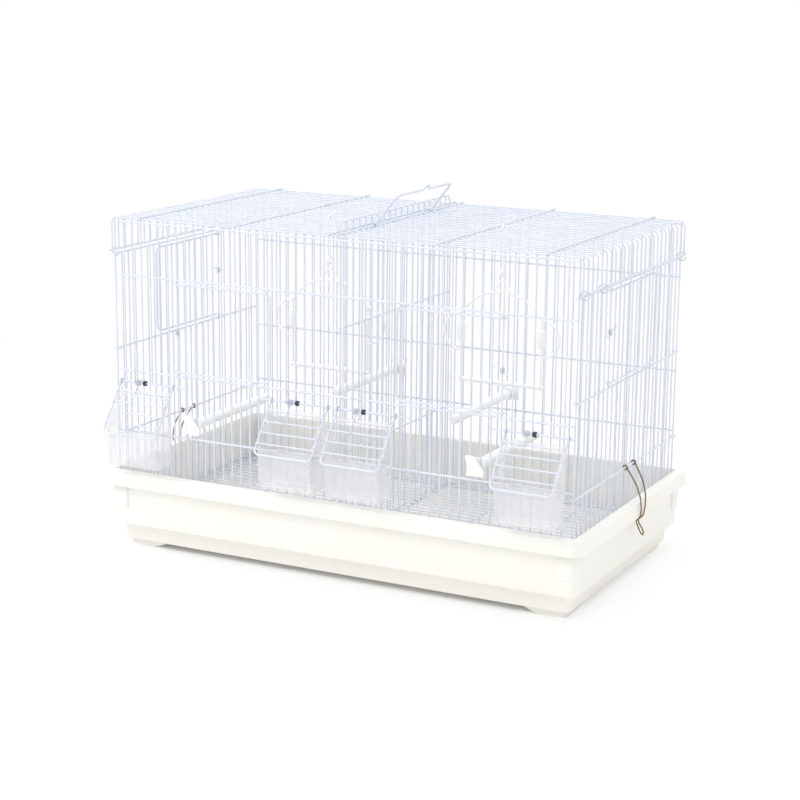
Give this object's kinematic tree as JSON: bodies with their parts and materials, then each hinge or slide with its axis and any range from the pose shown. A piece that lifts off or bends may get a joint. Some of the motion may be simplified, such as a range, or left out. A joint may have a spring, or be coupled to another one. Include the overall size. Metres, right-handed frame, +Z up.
{
  "type": "bird cage",
  "caption": "White wire canary breeding cage with a lift-out divider, sprung doors and feeders, perches, swings and a deep plastic tray",
  "frame": {"origin": "under the middle of the whole cage, at the level of its feet on the table", "axes": "X along the cage from its left to its right end, Y from the front with the feeders to the back, Z up"},
  "size_m": [0.6216, 0.3719, 0.4348],
  "materials": {
    "white_wire": "white powder coat, satin",
    "spring_steel": "bright spring wire",
    "tray_plastic": "moulded plastic, satin, pale ivory",
    "clear_plastic": "clear moulded plastic",
    "dark_plastic": "dark moulded plastic",
    "white_plastic": "white moulded plastic",
    "bead_plastic": "white moulded plastic",
    "brass_wire": "browned brass-coloured spring wire"
  },
  "bodies": {
    "cage_and_tray": {"tray": "tray_plastic", "floor_grate": "white_wire", "front_panel": "white_wire", "back_panel": "white_wire", "left_side_panel": "white_wire", "right_side_panel": "white_wire", "roof_panel": "white_wire", "ring_clips": "white_wire", "roof_wire_caps": "white_plastic", "front_door_spring_left": "spring_steel", "front_door_spring_right": "spring_steel", "side_door_spring_left": "spring_steel", "side_door_spring_right": "spring_steel", "feeder_cup_1": "clear_plastic", "feeder_cup_2": "clear_plastic", "feeder_cup_3": "clear_plastic", "feeder_cup_4": "clear_plastic", "feeder_spring_1": "spring_steel", "feeder_spring_2": "spring_steel", "feeder_spring_3": "spring_steel", "feeder_spring_4": "spring_steel", "feeder_collars": "dark_plastic", "perch_1": "white_plastic", "perch_2": "white_plastic", "perch_3": "white_plastic", "perch_4": "white_plastic", "perch_caps": "white_plastic"},
    "divider": {"divider": "white_wire"},
    "carry_handle": {"carry_handle": "white_wire"},
    "front_door_left": {"front_door_left": "white_wire"},
    "front_door_right": {"front_door_right": "white_wire"},
    "side_door_left": {"side_door_left": "white_wire"},
    "side_door_right": {"side_door_right": "white_wire"},
    "feeder_cover_1": {"feeder_cover_1": "white_wire"},
    "feeder_cover_2": {"feeder_cover_2": "white_wire"},
    "feeder_cover_3": {"feeder_cover_3": "white_wire"},
    "feeder_cover_4": {"feeder_cover_4": "white_wire"},
    "swing_left": {"swing_hook_left": "white_plastic", "swing_frame_left": "white_plastic", "swing_bar_left": "white_plastic", "swing_beads_left": "bead_plastic"},
    "tray_hook_left": {"tray_hook_left": "brass_wire"},
    "swing_right": {"swing_hook_right": "white_plastic", "swing_frame_right": "white_plastic", "swing_bar_right": "white_plastic", "swing_beads_right": "bead_plastic"},
    "tray_hook_right": {"tray_hook_right": "brass_wire"}
  },
  "joints": [
    {"name": "divider_lift", "type": "slide", "parent": "cage_and_tray", "child": "divider", "axis": [0, 0, 1], "range_m": [0, 0.33]},
    {"name": "carry_handle_fold", "type": "hinge", "parent": "cage_and_tray", "child": "carry_handle", "pos_m": [0.005, 0.01338, 0.39347], "axis": [0, 1, 0], "range_deg": [-38, 48]},
    {"name": "front_door_left_hinge", "type": "hinge", "parent": "cage_and_tray", "child": "front_door_left", "pos_m": [-0.204, -0.14262, 0.27], "axis": [0, 0, -1], "range_deg": [0, 90], "stiffness_Nm_per_rad": 0.02, "springref_deg": -20.05, "deforming": ["front_door_spring_left"]},
    {"name": "front_door_right_hinge", "type": "hinge", "parent": "cage_and_tray", "child": "front_door_right", "pos_m": [0.204, -0.14262, 0.27], "axis": [0, 0, 1], "range_deg": [0, 90], "stiffness_Nm_per_rad": 0.02, "springref_deg": -20.05, "deforming": ["front_door_spring_right"]},
    {"name": "side_door_left_hinge", "type": "hinge", "parent": "cage_and_tray", "child": "side_door_left", "pos_m": [-0.288, 0.07838, 0.292], "axis": [0, 0, -1], "range_deg": [0, 90], "stiffness_Nm_per_rad": 0.02, "springref_deg": -20.05, "deforming": ["side_door_spring_left"]},
    {"name": "side_door_right_hinge", "type": "hinge", "parent": "cage_and_tray", "child": "side_door_right", "pos_m": [0.288, -0.05162, 0.292], "axis": [0, 0, -1], "range_deg": [0, 90], "stiffness_Nm_per_rad": 0.02, "springref_deg": -20.05, "deforming": ["side_door_spring_right"]},
    {"name": "feeder_cover_1_hinge", "type": "hinge", "parent": "cage_and_tray", "child": "feeder_cover_1", "pos_m": [-0.246, -0.14426, 0.2005], "axis": [-1, 0, 0], "range_deg": [0, 100], "stiffness_Nm_per_rad": 0.008, "springref_deg": -34.38, "deforming": ["feeder_spring_1"]},
    {"name": "feeder_cover_2_hinge", "type": "hinge", "parent": "cage_and_tray", "child": "feeder_cover_2", "pos_m": [-0.042, -0.14426, 0.2005], "axis": [-1, 0, 0], "range_deg": [0, 100], "stiffness_Nm_per_rad": 0.008, "springref_deg": -34.38, "deforming": ["feeder_spring_2"]},
    {"name": "feeder_cover_3_hinge", "type": "hinge", "parent": "cage_and_tray", "child": "feeder_cover_3", "pos_m": [0.042, -0.14426, 0.2005], "axis": [-1, 0, 0], "range_deg": [0, 100], "stiffness_Nm_per_rad": 0.008, "springref_deg": -34.38, "deforming": ["feeder_spring_3"]},
    {"name": "feeder_cover_4_hinge", "type": "hinge", "parent": "cage_and_tray", "child": "feeder_cover_4", "pos_m": [0.246, -0.14426, 0.2005], "axis": [-1, 0, 0], "range_deg": [0, 100], "stiffness_Nm_per_rad": 0.008, "springref_deg": -34.38, "deforming": ["feeder_spring_4"]},
    {"name": "swing_left_sway", "type": "hinge", "parent": "cage_and_tray", "child": "swing_left", "pos_m": [-0.077, -0.01262, 0.39183], "axis": [1, 0, 0], "range_deg": [-30, 30]},
    {"name": "swing_right_sway", "type": "hinge", "parent": "cage_and_tray", "child": "swing_right", "pos_m": [0.132, 0.01338, 0.39183], "axis": [1, 0, 0], "range_deg": [-30, 30]},
    {"name": "tray_hook_left_swing", "type": "hinge", "parent": "cage_and_tray", "child": "tray_hook_left", "pos_m": [-0.28964, 0.00688, 0.135], "axis": [0, 1, 0], "range_deg": [0, 120]},
    {"name": "tray_hook_right_swing", "type": "hinge", "parent": "cage_and_tray", "child": "tray_hook_right", "pos_m": [0.28964, 0.01988, 0.135], "axis": [0, -1, 0], "range_deg": [0, 120]}
  ]
}
